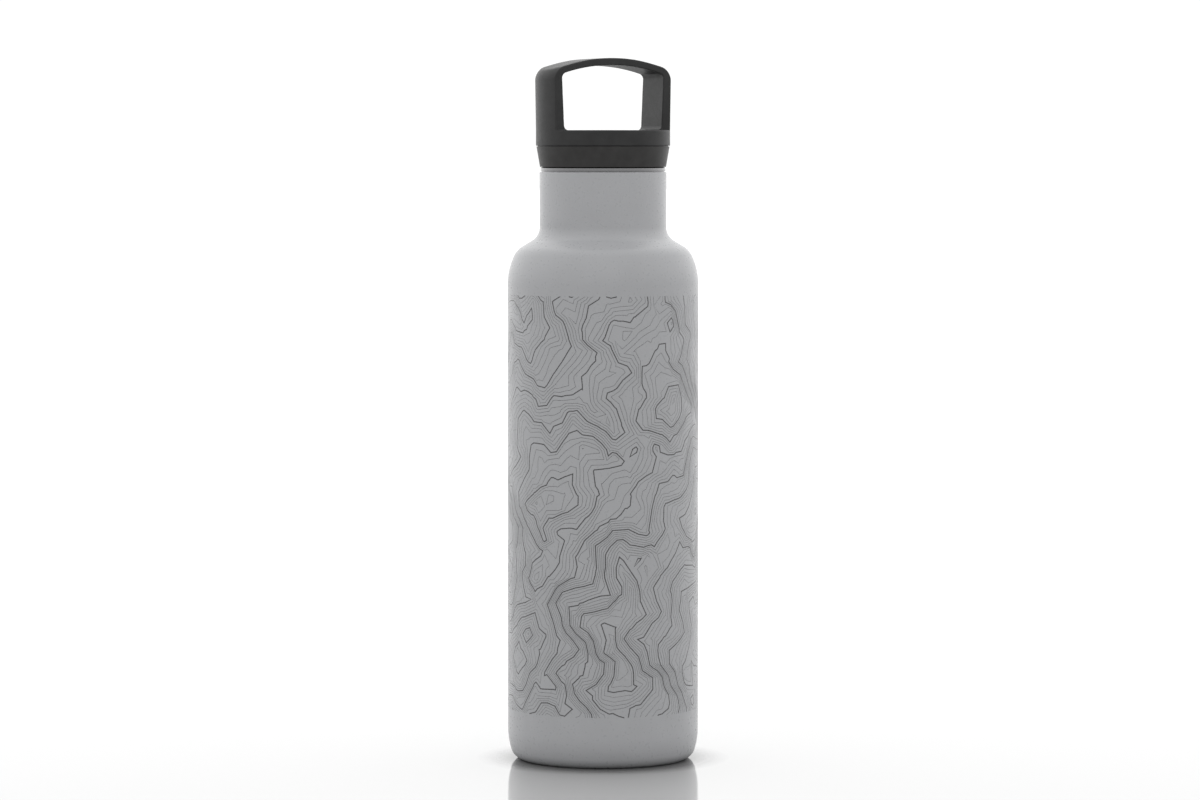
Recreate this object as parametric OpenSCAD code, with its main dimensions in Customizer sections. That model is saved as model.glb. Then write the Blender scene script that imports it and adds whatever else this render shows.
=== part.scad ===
// Vacuum insulated steel drinking bottle with a screw lid and a fixed carry loop.
// Millimetres, +Z up. The origin is the centre of the circle that the bottle stands on.
// The loop's legs are at -X and +X, so a finger or a strap goes through it along Y.

/* [Body] */
// Outer diameter of the coated body
body_d = 73; // [72:0.5:76]
// Outer diameter of the coated neck
neck_d = 48.5; // [48.5:0.1:49.2]
// Height of the bare steel lip above the ground
lip_h = 227; // [190:1:260]
// Thickness of each steel wall
wall = 0.4; // [0.35:0.05:0.5]
// Height of the coated neck above the start of the shoulder's curve
neck_len = 21.3; // [20:0.5:24]
// Slope of the shoulder below the horizontal, in degrees
shoulder_slope = 31; // [28:1:34]

/* [Foot] */
// Radius of the edge that the bottle stands on
foot_r = 5; // [4:0.5:6]
// Radius of the long curve above that edge
foot_sweep_r = 28; // [24:1:32]
// Depth of the recess under the base plate
base_recess = 2.4; // [2:0.1:3]

/* [Vacuum space] */
// Gap between the two walls along the body
vacuum_gap = 3; // [2.5:0.25:3.5]
// Height of the liner's floor above the ground, at its corner
liner_floor = 9; // [9:0.5:12]

/* [Mouth and thread] */
// Inside diameter of the mouth
mouth_d = 43; // [43:0.1:43.4]
// Rise of the thread in one full turn
thread_pitch = 4.5; // [4:0.25:5]
// Full turns of thread inside the neck
neck_turns = 1.25; // [1:0.25:1.5]
// Full turns of thread on the lid's plug
plug_turns = 1.5; // [1:0.25:1.5]

/* [Lid] */
// Diameter of the lid's band at the seam
lid_d = 51.3; // [50.8:0.1:51.6]
// Height of the lid from the lip to the top of the loop
lid_h = 41.4; // [40:0.2:44]
// Width of the carry loop along Y
loop_w = 20; // [16:1:24]
// Thickness of the carry loop at its crown
loop_t = 2.7; // [2.4:0.1:3.2]
// Radius of the arch on top of the loop
arch_r = 68; // [62:1:74]
// Depth of the plug below the lip
plug_depth = 17.2; // [16:0.2:18]

/* [Hidden] */

$fn = 96;

// Vessel
body_r = body_d / 2;
neck_r = neck_d / 2;
mouth_r = mouth_d / 2;
neck_top = lip_h - 1.5;
shoulder_top = neck_top - neck_len;
shoulder_fillet = 6.2;
shoulder_tight_r = 8;
shoulder_easy_r = 25;
shoulder_split = 26;
foot_split = 17;
foot_land = 1;
foot_turn_r = 1.2;
foot_in_r = body_r - foot_sweep_r + (foot_sweep_r - foot_r) * cos(foot_split);
base_r = foot_in_r - foot_land - foot_turn_r;

// Liner
liner_neck_r = mouth_r + wall;
liner_body_r = body_r - wall - vacuum_gap;
liner_top = shoulder_top - 2.5;
liner_fillet = 6.2;
liner_tight_r = 6;
liner_easy_r = 20;
liner_corner_r = 7;
liner_join = liner_floor + liner_corner_r;
hem_r = neck_r - wall;
hem_bend_r = 0.75;
hem_bottom = neck_top - 4.5;

// Base plate, its dimple and what sits there
step_r = base_r - 6.8;
step_h = 0.8;
plate_t = 0.6;
dimple_r = 3.4;
dimple_h = 1.2;
vent_r = 0.8;
getter_r = 4;
getter_h = 2;
getter_x = 13;
clip_t = 0.4;

// Lid levels, all measured from the ground
skirt_z = lip_h + 0.15;
gasket_top = lip_h + 2;
web_top = gasket_top + 2.1;
seam_z = lip_h + 8;
seam_gap = 0.3;
band_top = lip_h + 14;
roof_z = band_top - 2;
lid_top = lip_h + lid_h;
plug_z = lip_h - plug_depth;
plug_mouth_z = plug_z + 1.2;

// Lid radii
lid_r = lid_d / 2;
lid_flare = 0.3;
seam_depth = 0.5;
skirt_r = 24.1;
plug_r = mouth_r - 1.5;
plug_bore_r = plug_r - 2.2;
groove_r = skirt_r - 0.8;
spigot_r = 22.7;
spigot_bore_r = spigot_r - 1.9;
slip = 0.1;

// Loop
leg_foot_x = 20.1;
leg_head_x = 21;
leg_head_z = lid_top - 6.4;
leg_out_z = lid_top - 7.2;
loop_corner_r = 4;
loop_corner_slope = 17;
gap_foot_r = 1.75;
gap_head_r = 1.5;
arch_z = lid_top - arch_r;
gap_arch_r = arch_r - loop_t;

// Thread form
thread_root = 2;
thread_crest = 1;
thread_embed = 0.25;
neck_ridge_h = 1.1;
plug_ridge_h = 1.15;
thread_runout = 0.12;
steps_per_turn = 60;
neck_thread_z = lip_h - 8 - thread_pitch * neck_turns;
// The lid is screwed down, so the plug's ridge lies just under the neck's, a flank's width below it
flank_gap = 0.2;
ridge_overlap = plug_r + plug_ridge_h - mouth_r + neck_ridge_h;
flank_slope = (thread_root - thread_crest) / 2 / (neck_ridge_h + thread_embed);
plug_thread_z = neck_thread_z - thread_crest - flank_slope * ridge_overlap - flank_gap;
plug_thread_lag = 0.25;

// Points of an arc in a plane, from angle a0 to angle a1
function arc(centre, radius, a0, a1, steps = 8) =
    [for (i = [0:steps]) let (a = a0 + (a1 - a0) * i / steps) centre + radius * [cos(a), sin(a)]];

function flip(path) = [for (i = [len(path) - 1:-1:0]) path[i]];

// Half profile of a shoulder from its neck down to its wall, moved inwards by t.
// The curve is a hollow fillet, a straight slope and a tight then an easy rounding.
function shoulder(r_neck, r_wall, top, fillet, tight, easy, t) =
    let (
        hollow = [r_neck + fillet, top],
        slope_start = hollow + fillet * [cos(270 - shoulder_slope), sin(270 - shoulder_slope)],
        split = [cos(shoulder_split), sin(shoulder_split)],
        crown = [cos(90 - shoulder_slope), sin(90 - shoulder_slope)],
        slope_end_r = r_wall - easy + (easy - tight) * split[0] + tight * crown[0],
        slope_end_z = slope_start[1] - (slope_end_r - slope_start[0]) * tan(shoulder_slope),
        tight_centre = [slope_end_r, slope_end_z] - tight * crown,
        easy_centre = tight_centre - (easy - tight) * split
    )
    concat(
        arc(hollow, fillet + t, 180, 270 - shoulder_slope),
        arc(tight_centre, tight - t, 90 - shoulder_slope, shoulder_split + 2),
        arc(easy_centre, easy - t, shoulder_split, 0)
    );

// Half profile of the foot from the wall down to the flat ring that it stands on, and up inside
// the recess
function foot(t) =
    let (
        edge = [foot_in_r, foot_r],
        sweep = edge - (foot_sweep_r - foot_r) * [cos(foot_split), -sin(foot_split)]
    )
    concat(
        arc(sweep, foot_sweep_r - t, 0, -foot_split),
        arc(edge, foot_r - t, -foot_split - 5, -90),
        arc([foot_in_r - foot_land, foot_turn_r], foot_turn_r - t, -90, -180, 6),
        [[base_r + t, base_recess + plate_t]]
    );

function shell_path(t) =
    concat(
        [[neck_r - t, neck_top]],
        shoulder(neck_r, body_r, shoulder_top, shoulder_fillet, shoulder_tight_r, shoulder_easy_r, t),
        foot(t)
    );

// The liner's lip is rolled outwards and down, and its hem is welded inside the neck of the shell
function liner_lip(t) =
    let (bend_z = lip_h - hem_bend_r)
    concat(
        [[hem_r - t, hem_bottom]],
        arc([hem_r - hem_bend_r, bend_z], hem_bend_r - t, 0, 90, 4),
        arc([mouth_r + hem_bend_r, bend_z], hem_bend_r - t, 90, 180, 4)
    );

function liner_side(t) =
    concat(
        shoulder(liner_neck_r, liner_body_r, liner_top, liner_fillet, liner_tight_r, liner_easy_r, t),
        [[liner_body_r - t, liner_join]]
    );

// Corner of the loop's opening beside a leg: the centre of the circle that touches the leg's
// inner face and, at the foot, the band's top or, at the head, the arch.
leg_run = [leg_head_x - leg_foot_x, leg_head_z - band_top];
leg_dir = leg_run / norm(leg_run);
leg_in = [-leg_dir[1], leg_dir[0]];
leg_angle = atan2(-leg_in[1], -leg_in[0]);

function foot_corner(r) =
    let (start = [leg_foot_x, band_top] + r * leg_in)
    start + leg_dir * (band_top + r - start[1]) / leg_dir[1];

function head_corner(r) =
    let (
        from_arch = [leg_foot_x, band_top - arch_z] + r * leg_in,
        along = from_arch * leg_dir,
        reach = gap_arch_r - r,
        step = sqrt(along * along - from_arch * from_arch + reach * reach) - along
    )
    [0, arch_z] + from_arch + leg_dir * step;

function gap_side() =
    let (
        low = foot_corner(gap_foot_r),
        high = head_corner(gap_head_r),
        arch_angle = atan2(high[1] - arch_z, high[0])
    )
    concat(
        arc(low, gap_foot_r, -90, leg_angle),
        arc(high, gap_head_r, leg_angle, arch_angle),
        arc([0, arch_z], gap_arch_r, arch_angle + 2, 90, 16)
    );

// A right-handed helical ridge. way is 1 for a ridge that stands out of a plug and -1 for one that
// stands into a neck. Its ends sink into the wall over the run-out.
module ridge(wall_r, height, way, turns, z) {
    count = round(turns * steps_per_turn);
    function rise(i) =
        let (near_end = min(i, count - i) / (thread_runout * steps_per_turn))
        -0.1 + (height + 0.1) * min(1, near_end);
    function section(i) =
        let (
            root_r = wall_r - way * thread_embed,
            crest_r = wall_r + way * rise(i),
            mid = z + thread_pitch * i / steps_per_turn
        )
        [
            [root_r, mid - thread_root / 2], [crest_r, mid - thread_crest / 2],
            [crest_r, mid + thread_crest / 2], [root_r, mid + thread_root / 2]
        ];
    points = [
        for (i = [0:count]) let (a = 360 * i / steps_per_turn)
            for (p = section(i)) [p[0] * cos(a), p[0] * sin(a), p[1]]
    ];
    sides = [
        for (i = [0:count - 1], k = [0:3])
            let (a = 4 * i + k, b = 4 * i + (k + 1) % 4)
                each [[a, a + 4, b], [b, a + 4, b + 4]]
    ];
    last = 4 * count;
    caps = [[0, 1, 2], [0, 2, 3], [last + 2, last + 1, last], [last + 3, last + 2, last]];
    faces = concat(sides, caps);
    polyhedron(points, way < 0 ? faces : [for (f = faces) flip(f)]);
}

// Coated outer wall, from the neck down over the foot and up into the recess
module outer_shell() {
    color([0.62, 0.63, 0.65])
        rotate_extrude()
            polygon(concat(shell_path(0), flip(shell_path(wall))));
}

// Pressed base plate with a raised middle and the dimple that the vacuum is drawn through
module outer_base() {
    z = base_recess;
    color([0.72, 0.72, 0.73])
        rotate_extrude()
            polygon([
                [base_r, z], [base_r, z + plate_t], [step_r + 1, z + plate_t],
                [step_r, z + step_h + plate_t], [dimple_r + 1.2, z + step_h + plate_t],
                [dimple_r, z + step_h + dimple_h + plate_t], [vent_r, z + step_h + dimple_h + plate_t],
                [vent_r, z + step_h + dimple_h], [dimple_r - plate_t, z + step_h + dimple_h],
                [dimple_r - plate_t + 0.9, z + step_h], [step_r - plate_t, z + step_h],
                [step_r + 1 - plate_t, z]
            ]);
}

// Thin steel disc glued into the raised middle of the base, over the dimple
module base_cover() {
    color([0.78, 0.78, 0.79])
        translate([0, 0, base_recess + step_h - 0.5])
            cylinder(r = step_r - plate_t - 0.4, h = 0.5);
}

// Bead of sealing glass that closes the vent in the dimple
module vacuum_seal() {
    color([0.45, 0.47, 0.42])
        translate([0, 0, base_recess + step_h + dimple_h - 0.9])
            cylinder(r = dimple_r - plate_t - 0.1, h = 0.9);
}

// Pellet that soaks up stray gas in the vacuum space
module getter() {
    color([0.55, 0.55, 0.57])
        translate([getter_x, 0, base_recess + step_h + plate_t])
            cylinder(r = getter_r, h = getter_h);
}

// Strap that holds the getter down on the base plate
module getter_clip() {
    z = base_recess + step_h + plate_t;
    half = getter_r + slip + clip_t;
    color([0.75, 0.75, 0.76])
        translate([getter_x, 0, z])
            rotate([90, 0, 0])
                linear_extrude(3, center = true)
                    difference() {
                        union() {
                            translate([-half, 0]) square([2 * half, getter_h + clip_t]);
                            translate([-half - 2, 0]) square([2 * half + 4, clip_t]);
                        }
                        translate([-getter_r - slip, -1]) square([2 * (getter_r + slip), getter_h + 1]);
                    }
}

// Bare steel inner wall with its rolled lip and the thread inside the neck
module inner_liner() {
    color([0.76, 0.76, 0.77])
        union() {
            rotate_extrude()
                polygon(concat(
                    liner_lip(0), liner_side(wall), flip(liner_side(0)), flip(liner_lip(wall))
                ));
            ridge(mouth_r, neck_ridge_h, -1, neck_turns, neck_thread_z);
        }
}

// Domed cup welded under the liner's wall
module liner_bottom() {
    dome_rise = 2;
    half = liner_body_r - liner_corner_r;
    dome_r = (half * half + dome_rise * dome_rise) / (2 * dome_rise);
    dome = [0, liner_floor + dome_rise - dome_r];
    edge = 90 - asin((half - 4) / dome_r);
    corner = [half, liner_join];
    color([0.74, 0.74, 0.75])
        rotate_extrude()
            polygon(concat(
                arc(corner, liner_corner_r, 0, -90), arc(dome, dome_r, edge, 90, 6),
                arc(dome, dome_r + wall, 90, edge, 6), arc(corner, liner_corner_r - wall, -90, 0)
            ));
}

// Copper foil wrapped round the liner to turn radiant heat back
module foil_wrap() {
    foil_t = 0.1;
    foil_z = liner_join + 6;
    foil_h = liner_top - foil_z - 26;
    color([0.72, 0.45, 0.3])
        translate([0, 0, foil_z])
            difference() {
                cylinder(r = liner_body_r + foil_t, h = foil_h);
                translate([0, 0, -1]) cylinder(r = liner_body_r, h = foil_h + 2);
            }
}

// Silicone ring in the lid's groove, which presses on the steel lip
module lid_gasket() {
    color([0.2, 0.2, 0.21])
        translate([0, 0, lip_h])
            difference() {
                cylinder(r = groove_r - 0.2, h = gasket_top - lip_h);
                translate([0, 0, -1]) cylinder(r = plug_r + 0.2, h = gasket_top - lip_h + 2);
            }
}

// Lid's outer moulding: a band, its roof and the carry loop in one piece
module lid_shell() {
    color([0.2, 0.2, 0.21])
        difference() {
            union() {
                translate([0, 0, seam_z + seam_gap / 2])
                    cylinder(r = lid_r, h = band_top - seam_z - seam_gap / 2);
                loop_block();
            }
            rotate([90, 0, 0])
                linear_extrude(loop_w + 2, center = true)
                    polygon(concat(gap_side(), [for (p = flip(gap_side())) if (p[0] > 0.1) [-p[0], p[1]]]));
            translate([0, 0, seam_z - 1]) cylinder(r = spigot_r + slip, h = roof_z - seam_z + 1);
        }
}

// The loop before its opening is cut: a slab of a slightly flared body of revolution, under an arch
module loop_block() {
    core_r = lid_r - 2;
    corner = [lid_r + lid_flare - loop_corner_r, leg_out_z];
    crown = arc(corner, loop_corner_r, 0, 90 - loop_corner_slope);
    last = crown[len(crown) - 1];
    intersection() {
        rotate_extrude()
            polygon(concat(
                [[0, roof_z], [core_r, roof_z], [core_r, band_top], [lid_r, band_top]], crown,
                [[0, last[1] + last[0] * tan(loop_corner_slope)]]
            ));
        translate([-lid_d, -loop_w / 2, roof_z]) cube([2 * lid_d, loop_w, lid_h]);
        translate([0, 0, arch_z])
            rotate([90, 0, 0])
                cylinder(r = arch_r, h = lid_d, center = true, $fn = 360);
    }
}

// Plug under the shell: tapered collar, gasket groove, spigot and threaded barrel
module plug_body() {
    thread_start = plug_thread_z + thread_pitch * plug_thread_lag;
    color([0.22, 0.22, 0.23])
        union() {
            rotate_extrude()
                polygon([
                    [plug_bore_r, plug_mouth_z], [plug_r, plug_mouth_z], [plug_r, gasket_top],
                    [groove_r, gasket_top], [groove_r, skirt_z], [skirt_r - 0.25, skirt_z],
                    [skirt_r, skirt_z + 0.35], [lid_r - 0.2, seam_z - seam_gap / 2],
                    [lid_r - seam_depth, seam_z - seam_gap / 2], [lid_r - seam_depth, seam_z + seam_gap / 2],
                    [spigot_r, seam_z + seam_gap / 2], [spigot_r, roof_z - 0.4],
                    [spigot_bore_r, roof_z - 0.4], [spigot_bore_r, web_top], [plug_bore_r, web_top]
                ]);
            rotate(360 * plug_thread_lag)
                ridge(plug_r, plug_ridge_h, 1, plug_turns, thread_start);
        }
}

// Block of insulating foam that fills the plug
module plug_foam() {
    color([0.9, 0.88, 0.8])
        union() {
            translate([0, 0, plug_z + 2]) cylinder(r = plug_bore_r - slip, h = roof_z - plug_z - 2.5);
            translate([0, 0, web_top]) cylinder(r = spigot_bore_r - slip, h = roof_z - web_top - 0.5);
        }
}

// Disc that closes the bottom of the plug
module plug_disc() {
    color([0.22, 0.22, 0.23])
        union() {
            translate([0, 0, plug_z]) cylinder(r = plug_r - 0.8, h = plug_mouth_z - plug_z);
            translate([0, 0, plug_z]) cylinder(r = plug_bore_r - slip, h = 2);
        }
}

outer_shell();
outer_base();
base_cover();
vacuum_seal();
getter();
getter_clip();
inner_liner();
liner_bottom();
foil_wrap();
lid_gasket();
lid_shell();
plug_body();
plug_foam();
plug_disc();
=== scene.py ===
import math
import random

import bmesh
import bpy
import numpy as np
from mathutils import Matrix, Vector
from mathutils.geometry import delaunay_2d_cdt


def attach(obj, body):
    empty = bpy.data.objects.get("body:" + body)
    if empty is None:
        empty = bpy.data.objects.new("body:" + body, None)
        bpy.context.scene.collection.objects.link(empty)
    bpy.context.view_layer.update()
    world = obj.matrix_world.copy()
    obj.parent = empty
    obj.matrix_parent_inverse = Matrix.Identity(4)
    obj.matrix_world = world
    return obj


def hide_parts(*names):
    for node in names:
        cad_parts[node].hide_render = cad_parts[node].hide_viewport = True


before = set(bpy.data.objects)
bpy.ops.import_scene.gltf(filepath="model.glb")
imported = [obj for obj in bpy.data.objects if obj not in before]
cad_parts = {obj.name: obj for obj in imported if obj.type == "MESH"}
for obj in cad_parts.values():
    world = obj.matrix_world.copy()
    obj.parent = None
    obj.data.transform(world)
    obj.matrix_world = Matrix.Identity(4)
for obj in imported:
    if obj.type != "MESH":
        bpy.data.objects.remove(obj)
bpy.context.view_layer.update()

MM = 0.001

# Sizes of the CAD model in millimetres, for the profiles that are drawn again here. The coat stops
# a little below the end of the neck's wall, and bare steel shows above it.
BODY_R = 36.5
NECK_R = 24.25
MOUTH_R = 21.5
WALL = 0.4
LIP_Z = 227.0
HEM_LOW = 221.0
COAT_TOP = 225.1
SHOULDER_TOP = 204.2
SHOULDER_SLOPE = 31
SHOULDER_SPLIT = 26
# The shell's shoulder: neck radius, wall radius, top, hollow fillet, tight and easy rounding
SHELL_CURVE = (NECK_R, BODY_R, SHOULDER_TOP, 6.2, 8, 25)
PITCH = 4.5
NECK_RIDGE = 1.1
PLUG_RIDGE = 1.15
NECK_TURNS = 1.25
PLUG_TURNS = 1.5
LID_R = 25.65
BAND_LOW = 235.15
BAND_TOP = 241.0
ROOF_Z = 239.0
LID_TOP = 268.4
PLUG_R = 20.0

# Columns of faces round the axis, and the angle from which an edge is shaded sharp
COLUMNS = 96
SHARP = math.radians(35)

# The engraving: its height on the body, its lines and the landscape that they are the contours of
ZONE_LOW = 19.9
ZONE_HIGH = 178.6
ZONE_MARGIN = 0.6
GIRTH = math.tau * BODY_R
COAT_DEPTH = 0.06
RIM_DEPTH = 0.005
STEEL_LIFT = 0.004
STEEL_THICK = 0.002
BANK = 0.04
INDEX_EVERY = 5
INDEX_WIDTH = 0.5
LINE_WIDTH = 0.12
GROUND_CELL = 4.5
GROUND_JITTER = 0.3
GROUND_ROUGHNESS = 0.35
GROUND_SEED = 25
# Each fold of the ground: waves round the body, waves up it, and height in contour steps
FOLDS = ((-2, 1, 14.0), (2, 3, 5.8))
# Each kink bends the folds sharply: waves round, waves up, and shift in radians, along u or along z
KINKS_U = ((4, 8, 0.13), (-7, 17, 0.05))
KINKS_Z = ((9, 3, 0.13), (19, -8, 0.05))


# ---------------------------------------------------------------- profiles and lathe

def arc(centre, radius, start, end, steps=8):
    """Points of an arc in the plane of radius and height, angles in degrees."""
    points = []
    for i in range(steps + 1):
        angle = math.radians(start + (end - start) * i / steps)
        points.append((centre[0] + radius * math.cos(angle), centre[1] + radius * math.sin(angle)))
    return points


def rounded(corners, steps=5):
    """Outline through corners given as (radius, height, fillet)."""
    outline = []
    for i, (r, z, fillet) in enumerate(corners):
        here = Vector((r, z))
        if fillet == 0:
            outline.append((r, z))
            continue
        back = (Vector(corners[i - 1][:2]) - here).normalized()
        ahead = (Vector(corners[(i + 1) % len(corners)][:2]) - here).normalized()
        half = back.angle(ahead) / 2
        centre = here + (back + ahead).normalized() * (fillet / math.sin(half))
        reach = fillet / math.tan(half)
        first = here + back * reach - centre
        last = here + ahead * reach - centre
        turn = -first.angle_signed(last)
        start = math.atan2(first.y, first.x)
        for k in range(steps + 1):
            angle = start + turn * k / steps
            outline.append((centre.x + fillet * math.cos(angle), centre.y + fillet * math.sin(angle)))
    return outline


def lathe_faces(mesh, outline, closed=True):
    """Adds the surface of revolution of an outline, counter-clockwise in radius and height."""
    rings = []
    for r, z in outline:
        if r < 1e-6:
            rings.append([mesh.verts.new((0, 0, z * MM))] * COLUMNS)
            continue
        ring = []
        for k in range(COLUMNS):
            angle = math.tau * k / COLUMNS
            ring.append(mesh.verts.new((r * MM * math.cos(angle), r * MM * math.sin(angle), z * MM)))
        rings.append(ring)
    pairs = list(zip(rings, rings[1:]))
    if closed:
        pairs.append((rings[-1], rings[0]))
    for low, high in pairs:
        for k in range(COLUMNS):
            n = (k + 1) % COLUMNS
            corners = []
            for vert in (low[k], low[n], high[n], high[k]):
                if vert not in corners:
                    corners.append(vert)
            if len(corners) > 2:
                mesh.faces.new(corners)


def placed(name, data):
    """A new object in the scene."""
    made = bpy.data.objects.new(name, data)
    bpy.context.scene.collection.objects.link(made)
    return made


def finished(name, mesh, weld=True):
    """A smooth object of a bmesh, with sharp edges where the surface turns."""
    if weld:
        bmesh.ops.remove_doubles(mesh, verts=mesh.verts, dist=1e-6)
    data = bpy.data.meshes.new(name)
    mesh.to_mesh(data)
    mesh.free()
    data.shade_smooth()
    data.set_sharp_from_angle(angle=SHARP)
    return placed(name, data)


def lathe(name, outline):
    mesh = bmesh.new()
    lathe_faces(mesh, outline)
    return finished(name, mesh)


def shoulder(r_neck, r_wall, top, fillet, tight, easy, inset, steps=14):
    """Profile from a neck down to a wall: hollow fillet, slope, tight then easy rounding."""
    split = math.radians(SHOULDER_SPLIT)
    crown = math.radians(90 - SHOULDER_SLOPE)
    hollow = Vector((r_neck + fillet, top))
    turn = math.radians(270 - SHOULDER_SLOPE)
    slope_start = hollow + fillet * Vector((math.cos(turn), math.sin(turn)))
    end_r = r_wall - easy + (easy - tight) * math.cos(split) + tight * math.cos(crown)
    end_z = slope_start.y - (end_r - slope_start.x) * math.tan(math.radians(SHOULDER_SLOPE))
    tight_at = Vector((end_r, end_z)) - tight * Vector((math.cos(crown), math.sin(crown)))
    easy_at = tight_at - (easy - tight) * Vector((math.cos(split), math.sin(split)))
    return (
        arc(hollow, fillet + inset, 180, 270 - SHOULDER_SLOPE, steps)
        + arc(tight_at, tight - inset, 90 - SHOULDER_SLOPE, SHOULDER_SPLIT + 1, steps)
        + arc(easy_at, easy - inset, SHOULDER_SPLIT, 0, steps)
    )


def foot(inset):
    """Profile from the wall down to the ring that the bottle stands on, and into the recess."""
    edge_r, sweep_r, split, land, turn_r, end_z = 5.0, 28.0, 17, 1.0, 1.2, 3.0
    lean = math.radians(split)
    edge = (BODY_R - sweep_r + (sweep_r - edge_r) * math.cos(lean), edge_r)
    sweep = (BODY_R - sweep_r, edge_r + (sweep_r - edge_r) * math.sin(lean))
    return (
        arc(sweep, sweep_r - inset, 0, -split, 10)
        + arc(edge, edge_r - inset, -split - 3, -90, 14)
        + arc((edge[0] - land, turn_r), turn_r - inset, -90, -180, 6)
        + [(edge[0] - land - turn_r + inset, end_z)]
    )


def ridge(mesh, wall_r, height, way, turns, low, lag=0.0):
    """Adds a right-handed screw ridge, standing out of a plug (way 1) or into a neck (way -1)."""
    steps_per_turn = 72
    run_out = 0.12 * steps_per_turn
    root, crest, embed, sunk = 2.0, 1.0, 0.2, 0.1
    edge_in, edge_out, edge_step = 0.1, 0.08, 0.12
    count = round(turns * steps_per_turn)
    last = None
    for i in range(count + 1):
        rise = -sunk + (height + sunk) * min(1.0, min(i, count - i) / run_out)
        angle = math.tau * (i / steps_per_turn + lag)
        mid = low + PITCH * (i / steps_per_turn + lag)
        root_r = wall_r - way * embed
        crest_r = wall_r + way * rise
        section = (
            (root_r, mid - root / 2),
            (crest_r - way * edge_step, mid - crest / 2 - edge_out),
            (crest_r, mid - crest / 2 + edge_in),
            (crest_r, mid + crest / 2 - edge_in),
            (crest_r - way * edge_step, mid + crest / 2 + edge_out),
            (root_r, mid + root / 2),
        )
        ring = [mesh.verts.new((r * MM * math.cos(angle), r * MM * math.sin(angle), z * MM))
                for r, z in section]
        if last is None:
            mesh.faces.new(ring[::way])
        else:
            for a in range(len(ring)):
                b = (a + 1) % len(ring)
                mesh.faces.new((last[a], ring[a], ring[b], last[b])[::way])
        last = ring
    mesh.faces.new(last[::-way])


# ---------------------------------------------------------------- engraving

def triangle_wave(angle):
    return 4 * abs((angle / math.tau) % 1.0 - 0.5) - 1


def landscape():
    """Rough ground that closes on itself round the body: its triangles as (u, z, height) corners,
    each with a key that is the same on both sides of the seam."""
    rnd = random.Random(GROUND_SEED)
    folds = [fold + tuple(rnd.uniform(0, math.tau) for _ in range(3)) for fold in FOLDS]
    kinks_u = [kink + (rnd.uniform(0, math.tau),) for kink in KINKS_U]
    kinks_z = [kink + (rnd.uniform(0, math.tau),) for kink in KINKS_Z]

    def bent(kinks, a, b):
        return sum(size * triangle_wave(around * a + up * b + p) for around, up, size, p in kinks)

    def height(u, z):
        a = math.tau * u / GIRTH
        b = math.tau * (z - ZONE_LOW) / GIRTH
        a, b = a + bent(kinks_u, a, b), b + bent(kinks_z, a, b)
        total = 0.0
        for around, up, size, p, q, r in folds:
            # Slow waves let the crest of a fold wander
            warp = 0.9 * math.sin(a + q) * math.cos(1.3 * b + r) + 0.5 * math.sin(2 * a + r + 1.7 * b)
            total += size * triangle_wave(around * a + up * b + p + warp)
        return total

    across = round(GIRTH / GROUND_CELL)
    rows = round((ZONE_HIGH - ZONE_LOW) / GROUND_CELL) + 2
    step_u = GIRTH / across
    step_z = (ZONE_HIGH - ZONE_LOW) / (rows - 2)
    ground = {}
    for row in range(-1, rows + 1):
        for col in range(across):
            u = (col + 0.5 * (row % 2) + rnd.uniform(-GROUND_JITTER, GROUND_JITTER)) * step_u
            z = ZONE_LOW + (row - 0.5 + rnd.uniform(-GROUND_JITTER, GROUND_JITTER)) * step_z
            bump = rnd.uniform(-GROUND_ROUGHNESS, GROUND_ROUGHNESS)
            ground[col, row] = (u, z, height(u, z) + bump)

    def corner(col, row):
        u, z, h = ground[col % across, row]
        return (col % across, row), (u + col // across * GIRTH, z, h)

    for row in range(-1, rows):
        for col in range(across):
            a, b = (col, row), (col + 1, row)
            c, d = (col, row + 1), (col + 1, row + 1)
            split = ((a, b, c), (b, d, c)) if row % 2 == 0 else ((a, b, d), (a, d, c))
            for triangle in split:
                yield [corner(*place) for place in triangle]


def contour_lines():
    """Chained contour lines of the ground: (level, closed, points)."""
    links = {}
    for triangle in landscape():
        heights = [point[2] for key, point in triangle]
        for level in range(math.ceil(min(heights)), math.floor(max(heights)) + 1):
            ends = []
            for (key_p, p), (key_q, q) in zip(triangle, triangle[1:] + triangle[:1]):
                if (p[2] < level) != (q[2] < level):
                    f = (level - p[2]) / (q[2] - p[2])
                    place = (p[0] + f * (q[0] - p[0]), p[1] + f * (q[1] - p[1]))
                    ends.append(((level, *sorted((key_p, key_q))), place))
            if len(ends) == 2:
                (key_a, a), (key_b, b) = ends
                links.setdefault(key_a, []).append((key_b, a, b))
                links.setdefault(key_b, []).append((key_a, b, a))
    lines = []
    used = set()
    for start in sorted(links, key=lambda k: (len(links[k]), k)):
        for step in links[start]:
            if (start, step[0]) in used:
                continue
            line = [step[1]]
            here = start
            while step:
                ahead, a, b = step
                used.update(((here, ahead), (ahead, here)))
                line.append((b[0] + line[-1][0] - a[0], b[1]))
                here = ahead
                step = next((s for s in links[here] if (here, s[0]) not in used), None)
            lines.append((start[0], here == start and len(line) > 3, line))
    return lines


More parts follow.
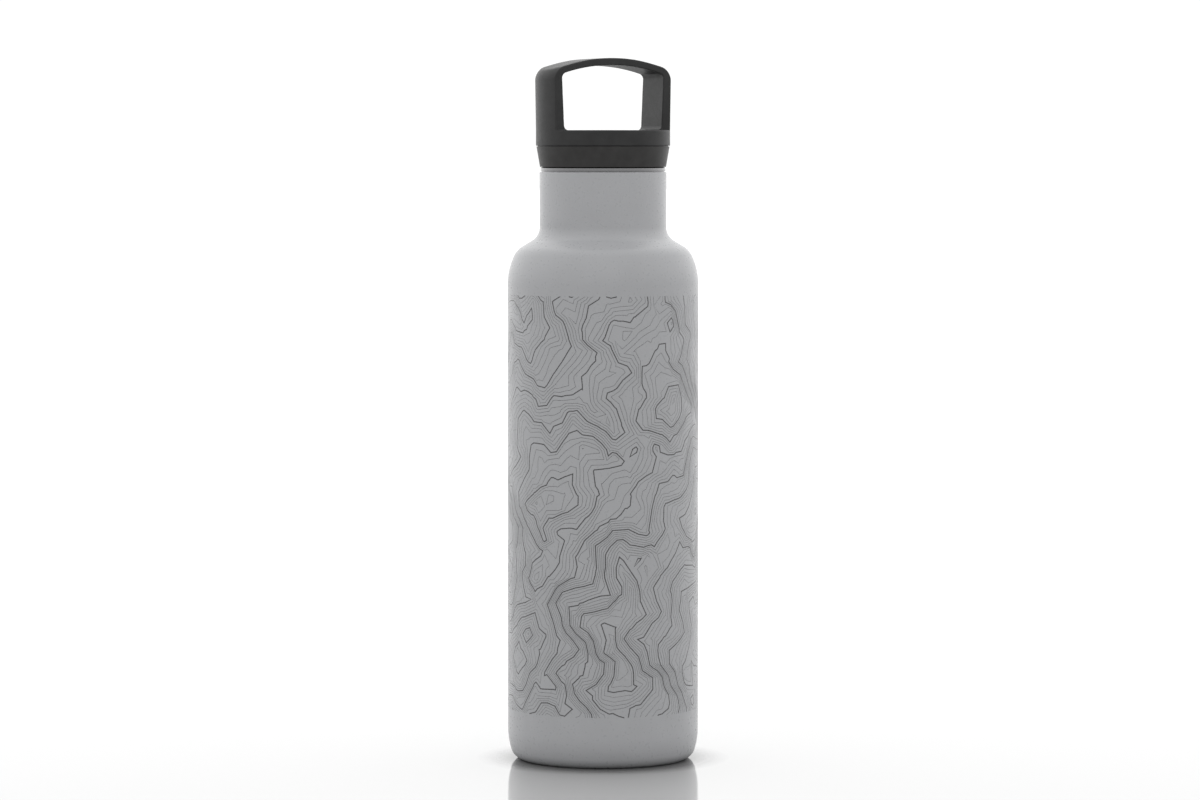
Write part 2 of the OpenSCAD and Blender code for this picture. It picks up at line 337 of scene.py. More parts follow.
def inside_zone(line, closed):
    """The runs of a line inside the engraved zone, as (closed, points)."""
    runs = []
    run = []
    for p, q in zip(line, line[1:]):
        cuts = [0.0, 1.0]
        rise = q[1] - p[1]
        if abs(rise) > 1e-9:
            to_low, to_high = sorted(((ZONE_LOW - p[1]) / rise, (ZONE_HIGH - p[1]) / rise))
            cuts = [max(0.0, to_low), min(1.0, to_high)]
        elif not ZONE_LOW < p[1] < ZONE_HIGH:
            cuts = [1.0, 0.0]
        if cuts[0] >= cuts[1]:
            if run:
                runs.append(run)
            run = []
            continue
        a, b = [(p[0] + f * (q[0] - p[0]), p[1] + f * rise) for f in cuts]
        if not run:
            run = [a]
        run.append(b)
        if cuts[1] < 1.0:
            runs.append(run)
            run = []
    if run:
        runs.append(run)
    whole = len(runs) == 1 and len(runs[0]) == len(line)
    if closed and not whole and len(runs) > 1 and runs[0][0] == line[0] and run:
        wrap = line[-1][0] - line[0][0]
        runs[0] = runs.pop()[:-1] + [(u + wrap, z) for u, z in runs[0]]
    return [(closed and whole, thinned(r)) for r in runs if len(thinned(r)) > 1]


def thinned(run, least=0.3):
    """The run without points that nearly touch, nearer than the least distance in millimetres."""
    kept = [run[0]]
    for point in run[1:]:
        if math.dist(point, kept[-1]) > least:
            kept.append(point)
    if len(kept) > 1:
        kept[-1] = run[-1]
    return kept


def beside(run, closed, distance):
    """The run moved to its left by a distance, with mitred corners and ends cut level."""
    # The flattest end that is still cut level, and the limit of a mitre at a sharp corner
    flattest, sharpest = 0.35, 0.35
    wrap = run[-1][0] - run[0][0]
    moved = []
    for i, here in enumerate(run):
        before = run[i - 1] if i else (run[-2][0] - wrap, run[-2][1])
        after = run[i + 1] if i + 1 < len(run) else (run[1][0] + wrap, run[1][1])
        ends = not closed and i in (0, len(run) - 1)
        back = Vector((here[0] - before[0], here[1] - before[1])).normalized()
        ahead = Vector((after[0] - here[0], after[1] - here[1])).normalized()
        if ends:
            along = ahead if i == 0 else back
            left = Vector((-along.y, along.x)) * distance
            slide = -left.y / along.y if abs(along.y) > flattest else 0.0
            shift = left + along * slide
        else:
            turn = max(sharpest, 1 + back.dot(ahead))
            shift = (Vector((-back.y, back.x)) + Vector((-ahead.y, ahead.x))) / turn * distance
        moved.append((here[0] + shift.x, here[1] + shift.y))
    return moved


class Drawing:
    """Points, edges and areas of grooves on the unrolled body, for the triangulation."""

    def __init__(self):
        self.points = []
        self.numbers = {}
        self.deep_edges = []
        self.rim_edges = []
        self.grid_edges = []
        self.banks = []
        self.index_floors = []
        self.thin_floors = []

    def point(self, u, z):
        key = (round(u, 4), round(z, 4))
        if key not in self.numbers:
            self.numbers[key] = len(self.points)
            self.points.append(Vector(key))
        return self.numbers[key]

    def turns_left(self, a, b, c):
        p, q, r = (self.points[k] for k in (a, b, c))
        return (q - p).cross(r - q) > 1e-6

    def areas(self, a, b, c, d):
        """The four-sided area if it is convex, or else those of its halves that aren't turned over."""
        if all(self.turns_left(*three) for three in ((a, b, c), (b, c, d), (c, d, a), (d, a, b))):
            return [(a, b, c, d)]
        return [half for half in ((a, b, c), (a, c, d)) if self.turns_left(*half)]


def draw_grooves(drawing):
    """Index lines as flat-bottomed grooves and thin lines as V grooves, drawn once for each turn
    that shows near the seam."""
    margin = 2.0
    for level, closed, line in contour_lines():
        is_index = level % INDEX_EVERY == 0
        if is_index:
            half = INDEX_WIDTH / 2
            offsets = (half, half - BANK, BANK - half, -half)
        else:
            offsets = (LINE_WIDTH / 2, 0, -LINE_WIDTH / 2)
        for is_closed, run in inside_zone(line, closed):
            sides = [beside(run, is_closed, d) for d in offsets]
            for i in range(len(run) - 1):
                strip = [(side[i], side[i + 1]) for side in sides]
                us = [end[0] for pair in strip for end in pair]
                first = math.ceil((-margin - max(us)) / GIRTH)
                last = math.floor((GIRTH + margin - min(us)) / GIRTH)
                for turn in range(first, last + 1):
                    add_strip(drawing, strip, turn * GIRTH, is_index)


def add_strip(drawing, strip, shift, is_index):
    """One straight piece of a groove."""
    rows = [[drawing.point(u + shift, z) for u, z in pair] for pair in strip]
    if is_index:
        kinds = (drawing.banks, drawing.index_floors, drawing.banks)
        depths = (None, drawing.deep_edges, drawing.deep_edges, None)
    else:
        kinds = (drawing.thin_floors, drawing.thin_floors)
        depths = (drawing.rim_edges, drawing.deep_edges, drawing.rim_edges)
    for k, areas in enumerate(kinds):
        areas += drawing.areas(rows[k][0], rows[k + 1][0], rows[k + 1][1], rows[k][1])
    for row, edges in zip(rows, depths):
        if edges is not None and row[0] != row[1]:
            edges.append(tuple(row))


def draw_grid(drawing):
    """Upright lines at the body's columns and the level edges of the patch."""
    low, high = ZONE_LOW - ZONE_MARGIN, ZONE_HIGH + ZONE_MARGIN
    ends = []
    for column in range(COLUMNS + 1):
        u = GIRTH * column / COLUMNS
        ends.append((drawing.point(u, low), drawing.point(u, high)))
    drawing.grid_edges += ends
    for here, after in zip(ends, ends[1:]):
        drawing.grid_edges += [(here[0], after[0]), (here[1], after[1])]


def engraved_patch():
    """The engraved part of the body: points as (u, z, depth), and triangles as (corners, kind),
    where a kind is coat, bank, index or thin."""
    drawing = Drawing()
    draw_grid(drawing)
    draw_grooves(drawing)
    edges = drawing.deep_edges + drawing.rim_edges + drawing.grid_edges
    areas = drawing.index_floors + drawing.thin_floors + drawing.banks
    index_count = len(drawing.index_floors)
    floor_count = index_count + len(drawing.thin_floors)
    points, out_edges, faces, _, from_edges, from_faces = delaunay_2d_cdt(
        drawing.points, edges, areas, 0, 1e-5, True)
    deep_count = len(drawing.deep_edges)
    rim_count = deep_count + len(drawing.rim_edges)
    depths = [0.0] * len(points)
    for edge, sources in zip(out_edges, from_edges):
        depth = 0.0
        if any(source < deep_count for source in sources):
            depth = COAT_DEPTH
        elif any(source < rim_count for source in sources):
            depth = RIM_DEPTH
        for k in edge:
            depths[k] = max(depths[k], depth)
    triangles = []
    low, high = ZONE_LOW - ZONE_MARGIN, ZONE_HIGH + ZONE_MARGIN
    for face, sources in zip(faces, from_faces):
        u = sum(points[k].x for k in face) / 3
        z = sum(points[k].y for k in face) / 3
        if not (0 < u < GIRTH and low < z < high):
            continue
        kind = "coat"
        if any(source < index_count for source in sources):
            kind = "index"
        elif any(source < floor_count for source in sources):
            kind = "thin"
        elif sources:
            kind = "bank"
        triangles.append((tuple(face), kind))
    kinds_at = {}
    for corners, kind in triangles:
        for k in corners:
            kinds_at.setdefault(k, set()).add(kind)
    for k, kinds in kinds_at.items():
        if depths[k] == 0 and kinds & {"index", "thin"}:
            depths[k] = RIM_DEPTH if kinds & {"coat", "bank"} else COAT_DEPTH
    return [(p.x, p.y, depth) for p, depth in zip(points, depths)], triangles


def on_body(u, z, depth):
    angle = u / BODY_R
    r = (BODY_R - depth) * MM
    return (r * math.cos(angle), r * math.sin(angle), z * MM)


# Marks on the coat's faces: flat-shaded banks of grooves, and the rest of the engraved zone
IS_ROUND = 1
IS_BANK = 2


def coated_shell(points, triangles):
    """The powder-coated outer wall, its coat cut down to the steel along the engraved lines."""
    mesh = bmesh.new()
    bank = mesh.faces.layers.int.new("bank")
    verts = {}

    def vert(k):
        if k not in verts:
            verts[k] = mesh.verts.new(on_body(*points[k]))
        return verts[k]

    for corners, kind in triangles:
        face = mesh.faces.new([vert(k) for k in corners])
        face[bank] = IS_BANK if kind == "bank" else IS_ROUND
    top = (NECK_R - WALL, COAT_TOP)
    neck = rounded([(*top, 0), (NECK_R, COAT_TOP, 0.3), (NECK_R, SHOULDER_TOP, 0)])[1:-1]
    outside = neck + shoulder(*SHELL_CURVE, 0.0) + [(BODY_R, ZONE_HIGH + ZONE_MARGIN)]
    underside = [(BODY_R, ZONE_LOW - ZONE_MARGIN)] + foot(0.0)
    inside = [top] + shoulder(*SHELL_CURVE, WALL) + foot(WALL)
    lathe_faces(mesh, inside + underside[::-1], closed=False)
    lathe_faces(mesh, outside[::-1] + [inside[0]], closed=False)
    piece = finished("coated_shell", mesh)
    set_zone_normals(piece.data)
    return piece


def set_zone_normals(data):
    """Round shading on the engraved zone, except on the banks of its grooves."""
    kinds = np.zeros(len(data.polygons), int)
    data.attributes["bank"].data.foreach_get("value", kinds)
    normals = []
    for face, kind in zip(data.polygons, kinds):
        for k in face.vertices:
            if kind == IS_ROUND:
                place = data.vertices[k].co
                normals.append(Vector((place.x, place.y, 0)).normalized())
            elif kind == IS_BANK:
                normals.append(face.normal)
            else:
                normals.append((0, 0, 0))
    data.normals_split_custom_set(normals)


def engraved_lines(name, wanted, points, triangles):
    """The bare steel that shows in one kind of groove, as a thin sheet."""
    mesh = bmesh.new()
    layers = ({}, {})
    sides = {}

    def vert(k, under):
        if k not in layers[under]:
            u, z, depth = points[k]
            lift = STEEL_LIFT - STEEL_THICK if under else STEEL_LIFT
            layers[under][k] = mesh.verts.new(on_body(u, z, depth - lift))
        return layers[under][k]

    for corners, kind in triangles:
        if kind != wanted:
            continue
        mesh.faces.new([vert(k, 0) for k in corners])
        mesh.faces.new([vert(k, 1) for k in reversed(corners)])
        for a, b in zip(corners, corners[1:] + corners[:1]):
            if (b, a) in sides:
                del sides[b, a]
            else:
                sides[a, b] = True
    for a, b in sides:
        mesh.faces.new((vert(b, 0), vert(a, 0), vert(a, 1), vert(b, 1)))
    return finished(name, mesh, weld=False)


# ---------------------------------------------------------------- vessel pieces

def liner_wall():
    """Bare steel inner wall with its rolled lip and the screw thread in the neck."""
    bend, vacuum_gap, join = 0.75, 3.0, 16.0
    hem_r, bend_z = NECK_R - WALL, LIP_Z - bend
    curve = (MOUTH_R + WALL, BODY_R - WALL - vacuum_gap, SHOULDER_TOP - 2.5, 6.2, 6, 20)
    crease_depth = 0.35
    crease_zs = (224.9, 225.05, 225.45, 225.58)

    def lip(inset):
        flush = hem_r - inset
        crease_rs = (flush, flush - crease_depth, flush - crease_depth, flush)
        return (
            [(flush, HEM_LOW)]
            + list(zip(crease_rs, crease_zs))
            + arc((hem_r - bend, bend_z), bend - inset, 0, 90, 6)
            + arc((MOUTH_R + bend, bend_z), bend - inset, 90, 180, 6)
        )

    def side(inset):
        return shoulder(*curve, inset, 10) + [(curve[1] - inset, join)]

    outline = lip(0) + side(WALL) + side(0)[::-1] + lip(WALL)[::-1]
    mesh = bmesh.new()
    lathe_faces(mesh, outline)
    ridge(mesh, MOUTH_R, NECK_RIDGE, -1, NECK_TURNS, neck_thread_low())
    return finished("liner_wall", mesh)


def base_plate():
    """Pressed steel base plate, welded into the recess of the shell."""
    z, thick, base_r, step_r, step = 2.4, 0.6, 28.3, 21.5, 0.8
    dimple_r, dimple = 3.4, 1.2
    z1, z2 = z + step, z + step + dimple
    return lathe("base_plate", rounded([
        (base_r, z, 0.25), (base_r, z + thick, 0.1), (step_r + 1, z + thick, 0.6),
        (step_r, z1 + thick, 0.6), (dimple_r + 1.2, z1 + thick, 0.4), (dimple_r, z2 + thick, 0.3),
        (0.8, z2 + thick, 0.1), (0.8, z2, 0.1), (dimple_r - thick, z2, 0.3),
        (dimple_r - thick + 0.9, z1, 0.4), (step_r - thick, z1, 0.5), (step_r + 1 - thick, z, 0.5),
    ]))


def base_weld():
    """Fine weld bead between the base plate and the shell."""
    seam_r, seam_z, bead_r, last = 28.28, 2.5, 0.22, 345
    return lathe("base_weld", arc((seam_r, seam_z), bead_r, 0, last, 22))


def base_disc():
    """Steel disc glued into the raised middle of the base."""
    top, r, thick, rim = 3.2, 20.5, 0.5, 0.42
    return lathe("base_disc", rounded([
        (0, top, 0), (0, top - thick, 0), (r - 1.6, top - thick, 0.2), (r - 1.3, top - rim, 0.2),
        (r, top - rim, 0.12), (r, top, 0.1),
    ]))


# ---------------------------------------------------------------- lid pieces

def both(a, b, radius):
    """Signed distance to what two shapes share, with their common edge rounded."""
    far = np.hypot(np.maximum(a + radius, 0), np.maximum(b + radius, 0))
    return np.minimum(np.maximum(a, b), -radius) + far


def lid_distance(p):
    """Signed distance to the lid's outer moulding: a band with a carry loop that stands on it."""
    edge = 0.45
    flare, lean_z, corner_r, slope = 0.3, LID_TOP - 7.2, 4.0, math.radians(17)
    arch_r, loop_t, half_w = 68.0, 2.7, 10.0
    arch_z = LID_TOP - arch_r
    x, y, z = p[..., 0], p[..., 1], p[..., 2]
    r = np.hypot(x, y)
    band = both(both(r - LID_R, z - BAND_TOP, 0.35), BAND_LOW - z, 0.1)
    lean = flare / (lean_z - BAND_TOP)
    side = (r - LID_R - lean * (z - BAND_TOP)) / math.hypot(1, lean)
    top_r = LID_R + flare - corner_r
    cap = (r - top_r) * math.sin(slope) + (z - lean_z) * math.cos(slope) - corner_r
    arch = np.hypot(x, z - arch_z) - arch_r
    slab = both(both(side, cap, corner_r), arch, 0.3)
    slab = both(slab, np.abs(y) - half_w, edge)
    slab = np.maximum(slab, ROOF_Z - z)
    leg_foot, leg_head, head_z = 20.1, 21.0, LID_TOP - 6.4
    leg = (leg_head - leg_foot) / (head_z - BAND_TOP)
    inner = (np.abs(x) - leg_foot - leg * (z - BAND_TOP)) / math.hypot(1, leg)
    gap = both(inner, BAND_TOP - z, 1.75)
    gap = both(gap, np.hypot(x, z - arch_z) - arch_r + loop_t, 1.5)
    loop = both(slab, -gap, edge)
    bore_r = 22.8
    bore = np.maximum(r - bore_r, z - ROOF_Z)
    return both(np.minimum(band, loop), -bore, 0.25)


def surface_net(distance, low, high, step):
    """Points and quads of the surface where a distance is zero. Each grid cell that the surface
    cuts has one point, where the planes of its cuts meet."""
    axes = [np.arange(a, b + step, step) for a, b in zip(low, high)]
    grid = np.stack(np.meshgrid(*axes, indexing="ij"), axis=-1)
    depth = distance(grid)
    inside = depth < 0
    corners = sum(inside[i:i - 1 or None, j:j - 1 or None, k:k - 1 or None].astype(int)
                  for i in (0, 1) for j in (0, 1) for k in (0, 1))
    cut_cells = (corners > 0) & (corners < 8)
    total = int(cut_cells.sum())
    number = np.full(cut_cells.shape, -1)
    number[cut_cells] = np.arange(total)
    planes, aims = np.zeros((total, 3, 3)), np.zeros((total, 3))
    middles, hits = np.zeros((total, 3)), np.zeros(total)
    quads = []
    for axis in range(3):
        near, far = [slice(None)] * 3, [slice(None)] * 3
        near[axis], far[axis] = slice(None, -1), slice(1, None)
        near, far = tuple(near), tuple(far)
        cut = inside[near] != inside[far]
        places = np.argwhere(cut)
        start, end = depth[near][cut], depth[far][cut]
        points = grid[near][cut]
        points[:, axis] += step * start / (start - end)
        normals = slopes(distance, points)
        others = [k for k in range(3) if k != axis]
        around = []
        for back in ((1, 1), (0, 1), (0, 0), (1, 0)):
            cells = places.copy()
            cells[:, others] -= back
            cells = number[tuple(cells.T)]
            around.append(cells)
            np.add.at(planes, cells, normals[:, :, None] * normals[:, None, :])
            np.add.at(aims, cells, normals * (normals * points).sum(1)[:, None])
            np.add.at(middles, cells, points)
            np.add.at(hits, cells, 1)
        around = np.stack(around, axis=-1)
        turned = (start > 0) != (axis == 1)
        around[turned] = around[turned][:, ::-1]
        quads.append(around)
    middles /= hits[:, None]
    hold = 0.03
    meets = np.linalg.solve(planes + hold * np.eye(3), (aims + hold * middles)[:, :, None])[:, :, 0]
    return middles + np.clip(meets - middles, -step, step), np.concatenate(quads)


def slopes(distance, points):
    """Unit vectors in which the distance grows fastest."""
    nudge = 0.01
    gradient = np.zeros_like(points)
    for axis in range(3):
        step = np.zeros(3)
        step[axis] = nudge
        gradient[:, axis] = distance(points + step) - distance(points - step)
    return gradient / np.maximum(np.linalg.norm(gradient, axis=1, keepdims=True), 1e-9)


def lid_shell():
    """The lid's outer moulding, with every edge softly rounded."""
    reach = LID_R + 1.5
    low, high = (-reach, -reach, BAND_LOW - 1), (reach, reach, LID_TOP + 1)
    points, quads = surface_net(lid_distance, low, high, 0.4)
    for _ in range(6):
        points -= slopes(lid_distance, points) * lid_distance(points)[:, None]
    data = bpy.data.meshes.new("lid_moulding")
    data.from_pydata((points * MM).tolist(), [], quads.tolist())
    data.shade_smooth()
    data.normals_split_custom_set_from_vertices(slopes(lid_distance, points).tolist())
    return placed("lid_moulding", data)


def plug_barrel():
    """Tapered collar, gasket groove, spigot and threaded barrel of the plug, in one moulding."""
    low, web, top, groove_top, collar_low, seam_low = 211.0, 231.1, 238.6, 229.0, 227.06, 234.85
    bore_r, groove_r, seam_r, spigot_r, pocket_r = 17.8, 23.15, 25.0, 22.7, 20.8
    collar_r, collar_top_r = 24.1, 25.45
    outline = rounded([
        (bore_r, low, 0.3), (PLUG_R, low, 0.5), (PLUG_R, groove_top, 0.2), (groove_r, groove_top, 0.2),
        (groove_r, collar_low, 0.15), (collar_r, collar_low, 0.1), (collar_top_r, seam_low, 0.07),
        (seam_r, seam_low, 0), (seam_r, BAND_LOW, 0), (spigot_r, BAND_LOW, 0.1),
        (spigot_r, top, 0.3), (pocket_r, top, 0.3), (pocket_r, web, 0.4), (bore_r, web, 0.4),
    ])
    mesh = bmesh.new()
    lathe_faces(mesh, outline)
    ridge(mesh, PLUG_R, PLUG_RIDGE, 1, PLUG_TURNS, plug_thread_low(), 0.25)
    return finished("plug_barrel", mesh)


def neck_thread_low():
    """Height at which the neck's ridge starts."""
    top_depth = 8
    return LIP_Z - top_depth - PITCH * NECK_TURNS


def plug_thread_low():
    """Height at which the plug's ridge starts, a flank's width and a gap under the neck's ridge."""
    crest, flank_slope, gap = 1.0, 0.5 / 1.35, 0.2
    overlap = PLUG_R + PLUG_RIDGE - MOUTH_R + NECK_RIDGE
    return neck_thread_low() - crest - flank_slope * overlap - gap


def seal_ring():
    """Silicone sealing ring, its underside grooved so that two narrow lands meet the lip."""
    inner_r, outer_r, groove, top = 20.2, 22.95, LIP_Z + 0.5, 229.0
    return lathe("seal_ring", rounded([
        (inner_r, LIP_Z, 0.25), (21.0, LIP_Z, 0.2), (21.4, groove, 0.2), (22.1, groove, 0.2),
        (22.5, LIP_Z, 0.2), (outer_r, LIP_Z, 0.2), (outer_r, top, 0.3), (inner_r, top, 0.3),
    ]))


def plug_end():
    """Disc welded into the end of the plug, dished a little in its middle."""
    low, dish, barrel_low, top = 209.8, 210.2, 211.0, 211.8
    rim_r, step_r = 19.2, 17.7
    return lathe("plug_end", rounded([
        (0, dish, 0), (14.5, dish, 2.0), (16.0, low, 1.0), (rim_r, low, 0.5),
        (rim_r, barrel_low, 0.1), (step_r, barrel_low, 0), (step_r, top, 0.2), (0, top, 0),
    ]))


# ---------------------------------------------------------------- materials

class Surface:
    """A material with a Principled shader, and short calls that build patterns for it."""

    def __init__(self, name, **settings):
        self.material = bpy.data.materials.new(name)
        self.material.use_nodes = True
        self.tree = self.material.node_tree
        self.shader = self.tree.nodes["Principled BSDF"]
        for key, value in settings.items():
            self.shader.inputs[key.replace("_", " ").title().replace("Ior", "IOR")].default_value = value

    def node(self, kind, **settings):
        made = self.tree.nodes.new(kind)
        for key, value in settings.items():
            setattr(made, key, value)
        return made

    def join(self, out, into):
        self.tree.links.new(out, into)

    def place(self):
        """Position in the piece's own frame, in metres."""
        return self.node("ShaderNodeTexCoord").outputs["Object"]

    def round_axis(self, around, across):
        """Position for streaks that run round the bottle: slow round it, fast along and outwards."""
        split = self.node("ShaderNodeSeparateXYZ")
        self.join(self.place(), split.inputs[0])
        flat = self.node("ShaderNodeCombineXYZ")
        self.join(split.outputs["X"], flat.inputs["X"])
        self.join(split.outputs["Y"], flat.inputs["Y"])
        length = self.node("ShaderNodeVectorMath", operation="LENGTH")
        self.join(flat.outputs[0], length.inputs[0])
        outwards = self.node("ShaderNodeMath", operation="ADD")
        self.join(length.outputs["Value"], outwards.inputs[0])
        self.join(split.outputs["Z"], outwards.inputs[1])
        fast = self.node("ShaderNodeMath", operation="MULTIPLY")
        self.join(outwards.outputs[0], fast.inputs[0])
        fast.inputs[1].default_value = across / around
        place = self.node("ShaderNodeCombineXYZ")
        self.join(split.outputs["X"], place.inputs["X"])
        self.join(split.outputs["Y"], place.inputs["Y"])
        self.join(fast.outputs[0], place.inputs["Z"])
        return place.outputs[0], around

    def noise(self, scale, detail=2.0, place=None, roughness=0.5):
        made = self.node("ShaderNodeTexNoise")
        made.inputs["Scale"].default_value = scale
        made.inputs["Detail"].default_value = detail
        made.inputs["Roughness"].default_value = roughness
        self.join(place or self.place(), made.inputs["Vector"])
        return made.outputs["Fac"]

    def ranged(self, value, low, high, start=0.3, end=0.7):
        made = self.node("ShaderNodeMapRange")
        for key, number in (("From Min", start), ("From Max", end), ("To Min", low), ("To Max", high)):
            made.inputs[key].default_value = number
        self.join(value, made.inputs["Value"])
        return made.outputs["Result"]

    def colour(self, value, low, high):
        """Base colour that runs from low to high with a pattern."""
        ramp = self.node("ShaderNodeValToRGB")
        for stop, place, shade in ((0, 0.3, low), (1, 0.7, high)):
            ramp.color_ramp.elements[stop].position = place
            ramp.color_ramp.elements[stop].color = (*shade, 1)
        self.join(value, ramp.inputs["Fac"])
        self.join(ramp.outputs["Color"], self.shader.inputs["Base Color"])

    def roughness(self, value, low, high):
        self.join(self.ranged(value, low, high), self.shader.inputs["Roughness"])

    def bump(self, value, distance, strength=1.0, under=None):
        made = self.node("ShaderNodeBump")
        made.inputs["Distance"].default_value = distance
        made.inputs["Strength"].default_value = strength
        self.join(value, made.inputs["Height"])
        if under:
            self.join(under, made.inputs["Normal"])
        self.join(made.outputs["Normal"], self.shader.inputs["Normal"])
        return made.outputs["Normal"]


def shade(colour, factor):
    return tuple(channel * factor for channel in colour)


def powder_coat():
    """Satin grey powder coat with slight clouding and a fine orange peel."""
    grey = (0.420, 0.425, 0.438)
    surface = Surface("powder_coat", ior=1.6)
    surface.colour(surface.noise(70, 3), shade(grey, 0.98), shade(grey, 1.02))
    surface.roughness(surface.noise(900, 3), 0.26, 0.34)
    surface.bump(surface.noise(1100, 1), 0.000002)
    return surface.material


def engraved_steel(name, steel):
    """Bare steel under the coat, darkened and dulled by the engraving."""
    surface = Surface(name, metallic=1.0)
    surface.colour(surface.noise(400, 3), shade(steel, 0.9), shade(steel, 1.1))
    surface.roughness(surface.noise(2500, 2), 0.22, 0.34)
    surface.bump(surface.noise(6000, 2), 0.000004)
    return surface.material


def brushed_steel(name, steel, rough, across):
    """Stainless steel polished round the axis, with fine streaks."""
    surface = Surface(name, metallic=1.0)
    place, scale = surface.round_axis(12, across)
    streaks = surface.noise(scale, 4, place, 0.65)
    surface.colour(streaks, shade(steel, 0.86), shade(steel, 1.08))
    surface.roughness(streaks, rough * 0.8, rough * 1.25)
    surface.bump(streaks, 0.000005)
    return surface.material


def moulded_plastic(name, charcoal):
    """Charcoal lid plastic with the fine matte texture of its mould."""
    surface = Surface(name, ior=1.3)
    surface.colour(surface.noise(260, 3), shade(charcoal, 0.9), shade(charcoal, 1.12))
    surface.roughness(surface.noise(1500, 3), 0.38, 0.48)
    grain = surface.bump(surface.noise(2600, 3), 0.000008)
    surface.bump(surface.noise(9000, 1), 0.000003, under=grain)
    return surface.material


def silicone():
    """Dark silicone with a dull bloom."""
    surface = Surface("silicone", ior=1.41)
    surface.colour(surface.noise(500, 3), (0.030, 0.030, 0.032), (0.045, 0.045, 0.047))
    surface.roughness(surface.noise(900, 2), 0.55, 0.68)
    surface.bump(surface.noise(3000, 2), 0.00001)
    return surface.material


def foam():
    """Closed-cell insulating foam."""
    surface = Surface("foam")
    cells = surface.node("ShaderNodeTexVoronoi")
    cells.inputs["Scale"].default_value = 1100
    surface.join(surface.place(), cells.inputs["Vector"])
    surface.colour(cells.outputs["Distance"], (0.70, 0.66, 0.55), (0.82, 0.79, 0.70))
    surface.roughness(cells.outputs["Distance"], 0.8, 0.95)
    surface.bump(cells.outputs["Distance"], 0.0002)
    return surface.material


def copper_foil():
    """Thin copper foil with the creases of being wrapped by hand."""
    surface = Surface("copper_foil", metallic=1.0)
    surface.colour(surface.noise(180, 4), (0.74, 0.38, 0.24), (0.85, 0.49, 0.33))
    surface.roughness(surface.noise(300, 3), 0.18, 0.34)
    surface.bump(surface.noise(140, 5, roughness=0.6), 0.0002)
    return surface.material


def sintered_metal():
    """Pressed metal powder, dull and grainy."""
    surface = Surface("sintered_metal", metallic=0.7)
    surface.colour(surface.noise(2500, 3), (0.20, 0.20, 0.21), (0.36, 0.36, 0.37))
    surface.roughness(surface.noise(2500, 3), 0.6, 0.85)
    surface.bump(surface.noise(3500, 3), 0.00005)
    return surface.material


def sealing_glass():
    """Dull glass solder."""
    surface = Surface("sealing_glass", ior=1.6)
    surface.colour(surface.noise(600, 3), (0.24, 0.26, 0.20), (0.34, 0.36, 0.30))
    surface.roughness(surface.noise(600, 2), 0.3, 0.5)
    surface.bump(surface.noise(900, 2), 0.00003)
    return surface.material


def weld_metal():
    """Weld bead with its heat ripples."""
    surface = Surface("weld_metal", metallic=1.0)
    surface.colour(surface.noise(700, 2), (0.36, 0.34, 0.32), (0.52, 0.50, 0.48))
    surface.roughness(surface.noise(1500, 2), 0.28, 0.45)
    surface.bump(surface.noise(1300, 2), 0.00004)
    return surface.material


def floor_material():
    """Smooth white table top, with a painted contact shadow: its colour and specular level are darkened
    by ambient occlusion right beside what stands on it.
    """
    surface = Surface("floor_white", ior=1.75)
    painted_contact_shadow = surface.node("ShaderNodeAmbientOcclusion")
    reach = 0.014
    painted_contact_shadow.inputs["Distance"].default_value = reach
    open_sky = painted_contact_shadow.outputs["AO"]
    inputs = surface.shader.inputs
    # Painted contact shadow: base colour and specular level drop where little open sky is near
    surface.join(surface.ranged(open_sky, 0.2, 0.52, 0.6, 1.0), inputs["Base Color"])
    surface.join(surface.ranged(open_sky, 0.1, 0.5, 0.5, 1.0), inputs["Specular IOR Level"])
    surface.roughness(surface.noise(6, 2), 0.06, 0.07)
    return surface.material


# ---------------------------------------------------------------- assembly

def dress(piece, material, body=None, stands_for=()):
    """Gives a piece its material and body, and hides the CAD nodes that it stands for."""
    piece.data.materials.clear()
    piece.data.materials.append(material)
    if body:
        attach(piece, body)
    for node in stands_for:
        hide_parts(node)


def build_vessel():
    coat = powder_coat()
    bright = brushed_steel("polished_steel", (0.235, 0.235, 0.24), 0.24, 2600)
    plate = brushed_steel("spun_steel", (0.46, 0.458, 0.452), 0.30, 1800)
    etched = {
        "index": engraved_steel("engraved_deep_steel", (0.115, 0.115, 0.117)),
        "thin": engraved_steel("engraved_steel", (0.15, 0.15, 0.153)),
    }
    points, triangles = engraved_patch()
    dress(coated_shell(points, triangles), coat, "vessel", ["outer_shell"])
    for name, kind in (("engraved_index_lines", "index"), ("engraved_thin_lines", "thin")):
        dress(engraved_lines(name, kind, points, triangles), etched[kind], "vessel")
    dress(liner_wall(), bright, "vessel", ["inner_liner"])
    dress(base_plate(), plate, "vessel", ["outer_base"])
    dress(base_weld(), weld_metal(), "vessel")
    dress(base_disc(), plate, "vessel", ["base_cover"])
    dress(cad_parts["liner_bottom"], bright)
    dress(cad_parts["getter_clip"], plate)
    dress(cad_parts["foil_wrap"], copper_foil())
    dress(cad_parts["getter"], sintered_metal())
    dress(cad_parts["vacuum_seal"], sealing_glass())


def build_lid():
    shell = moulded_plastic("lid_charcoal", (0.0375, 0.0375, 0.0378))
    plug = moulded_plastic("plug_charcoal", (0.0425, 0.0415, 0.0410))
    dress(seal_ring(), silicone(), "seal", ["lid_gasket"])
    dress(lid_shell(), shell, "lid", ["lid_shell"])
    dress(plug_barrel(), plug, "lid", ["plug_body"])
    dress(plug_end(), plug, "lid", ["plug_disc"])
    dress(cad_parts["plug_foam"], foam())


# ---------------------------------------------------------------- stage, light, camera

# Camera position in metres and strengths of the light, matched to the photo by measure
CAMERA_TURN = math.radians(23.3)
CAMERA_REACH = 1.668
CAMERA_Z = 0.235
CAMERA_DIP = math.radians(3.335)
CAMERA_LEFT = 0.00115
LENS = 130.74
LIGHT_BEHIND = 1.45
LIGHT_IN_FRONT = 0.9
BACKDROP = 1.05


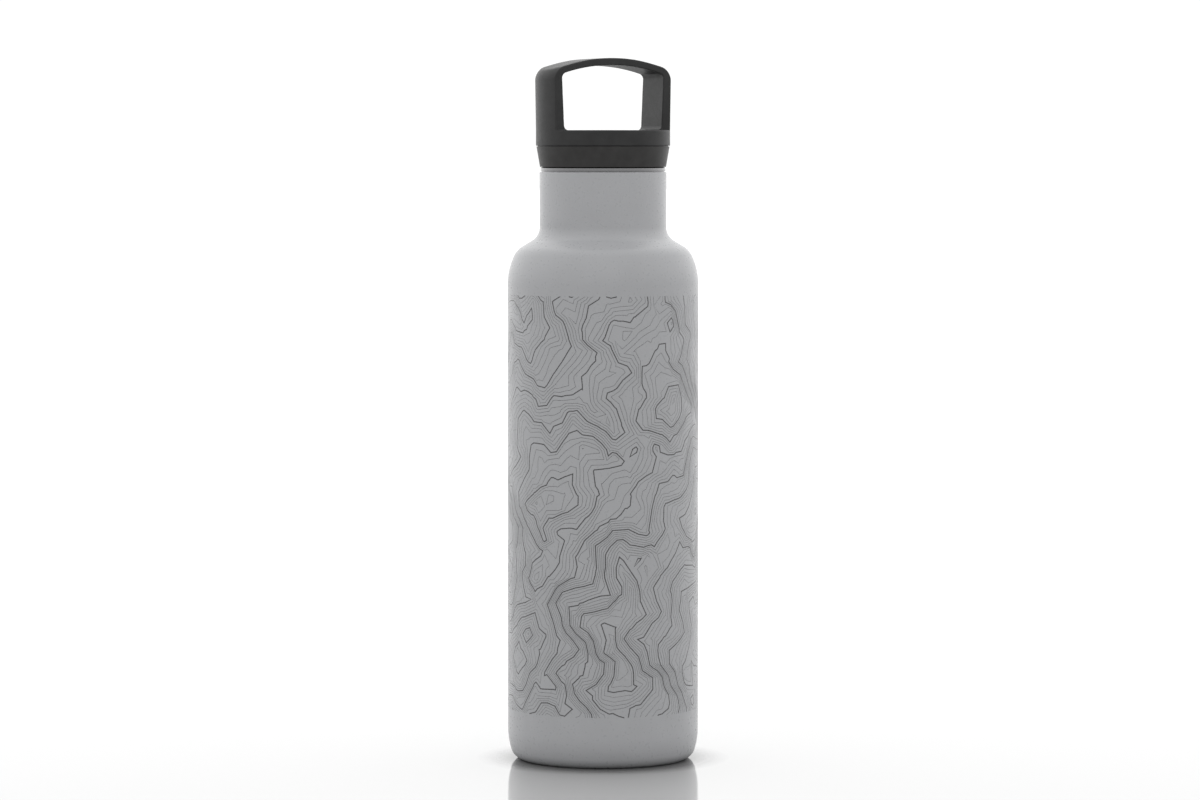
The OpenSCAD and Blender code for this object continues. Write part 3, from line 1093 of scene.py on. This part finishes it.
def make_camera():
    data = bpy.data.cameras.new("camera")
    data.lens = LENS
    data.sensor_width = 36
    camera = placed("camera", data)
    right = Vector((math.cos(CAMERA_TURN), -math.sin(CAMERA_TURN), 0))
    back = Vector((-math.sin(CAMERA_TURN), -math.cos(CAMERA_TURN), 0))
    camera.location = back * CAMERA_REACH + Vector((0, 0, CAMERA_Z)) - right * CAMERA_LEFT
    camera.rotation_euler = (math.pi / 2 - CAMERA_DIP, 0, -CAMERA_TURN)
    bpy.context.scene.camera = camera


def make_floor():
    mesh = bmesh.new()
    bmesh.ops.create_grid(mesh, x_segments=8, y_segments=8, size=20)
    data = bpy.data.meshes.new("floor")
    mesh.to_mesh(data)
    mesh.free()
    floor = placed("floor", data)
    data.materials.append(floor_material())


def make_light():
    """A white studio all round, brighter behind the bottle than where the camera stands. What the
    camera sees of it directly is an even white."""
    world = bpy.data.worlds.new("studio")
    bpy.context.scene.world = world
    world.use_nodes = True
    tree = world.node_tree
    background = tree.nodes["Background"]
    place = tree.nodes.new("ShaderNodeTexCoord")
    facing = tree.nodes.new("ShaderNodeVectorMath")
    facing.operation = "DOT_PRODUCT"
    facing.inputs[1].default_value = (-math.sin(CAMERA_TURN), -math.cos(CAMERA_TURN), 0)
    tree.links.new(place.outputs["Generated"], facing.inputs[0])
    strength = tree.nodes.new("ShaderNodeMapRange")
    strength.interpolation_type = "SMOOTHSTEP"
    ends = (("From Min", -1.0), ("From Max", 0.6), ("To Min", LIGHT_BEHIND), ("To Max", LIGHT_IN_FRONT))
    for key, number in ends:
        strength.inputs[key].default_value = number
    tree.links.new(facing.outputs["Value"], strength.inputs["Value"])
    seen = tree.nodes.new("ShaderNodeLightPath")
    choose = tree.nodes.new("ShaderNodeMix")
    tree.links.new(seen.outputs["Is Camera Ray"], choose.inputs["Factor"])
    tree.links.new(strength.outputs["Result"], choose.inputs["A"])
    choose.inputs["B"].default_value = BACKDROP
    background.inputs["Color"].default_value = (1, 1, 1, 1)
    tree.links.new(choose.outputs["Result"], background.inputs["Strength"])
    bpy.context.scene.view_settings.view_transform = "Standard"


make_camera()
make_light()
make_floor()
build_vessel()
build_lid()
